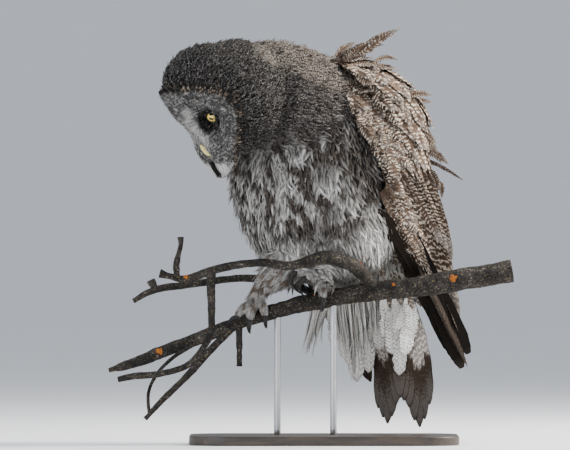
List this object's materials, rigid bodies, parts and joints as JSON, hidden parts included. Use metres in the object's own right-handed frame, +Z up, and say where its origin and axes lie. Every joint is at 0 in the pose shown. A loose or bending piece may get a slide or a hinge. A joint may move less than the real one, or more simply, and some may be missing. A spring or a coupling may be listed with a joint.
{
  "type": "great grey owl",
  "caption": "Life-size great grey owl leaning forward and looking down from a cut length of bare branch, held above a flat dark base by two slim rods.",
  "frame": {"origin": "on the underside of the stand's base, below the middle of the perch", "axes": "+Z up; +X along the branch, from its thin hanging end to its thick cut end; -Y towards the side the owl's breast faces, which is the side it was seen from"},
  "size_m": [0.6087, 0.3773, 0.6075],
  "materials": {
    "crown_plumage": "soft layered body feathers, very dark grey with fine pale flecks and a browner sunlit band",
    "face_plumage": "short stiff feathers in fine grey and dark rings round each eye",
    "breast_plumage": "long loose grey-white feathers with broken dark brown streaks",
    "leg_plumage": "dense short down over the legs and toes",
    "wing_plumage": "layered coverts and shoulder feathers, grey-brown, mottled paler",
    "flight_feathers": "long smooth vanes, dark brown with paler grey-brown bars",
    "lid_skin": "bare dark skin",
    "eye": "clear glossy eye, yellow iris with a small black pupil",
    "bill_horn": "waxy dull yellow horn",
    "claw_horn": "smooth black horn",
    "bark": "rough dry bark, dark grey with pale specks and spots of orange lichen",
    "stand_wood": "satin dark stained board",
    "stand_steel": "plain brushed rod"
  },
  "bodies": {
    "root": {"stand_base": "stand_wood", "stand_rod_left": "stand_steel", "stand_rod_right": "stand_steel", "perch_branch": "bark", "perch_twig_upper": "bark", "perch_twig_middle": "bark", "perch_twig_hanging": "bark", "perch_twig_lower": "bark", "perch_twig_loop": "bark", "head": "crown_plumage", "facial_disc": "face_plumage", "eyelids_left": "lid_skin", "eyelids_right": "lid_skin", "eye_left": "eye", "eye_right": "eye", "bill_upper": "bill_horn", "bill_lower": "bill_horn", "neck": "crown_plumage", "torso": "breast_plumage", "wing_left": "wing_plumage", "wing_left_flight_feathers": "flight_feathers", "scapulars_left": "wing_plumage", "wing_right": "wing_plumage", "wing_right_flight_feathers": "flight_feathers", "scapulars_right": "wing_plumage", "tail": "flight_feathers", "vent_feathers": "breast_plumage", "leg_left": "leg_plumage", "foot_left": "leg_plumage", "leg_right": "leg_plumage", "foot_right": "leg_plumage", "claw_right_1": "claw_horn", "claw_right_2": "claw_horn", "claw_right_3": "claw_horn", "claw_right_4": "claw_horn", "claw_left_1": "claw_horn", "claw_left_2": "claw_horn", "claw_left_3": "claw_horn", "claw_left_4": "claw_horn"}
  },
  "joints": []
}
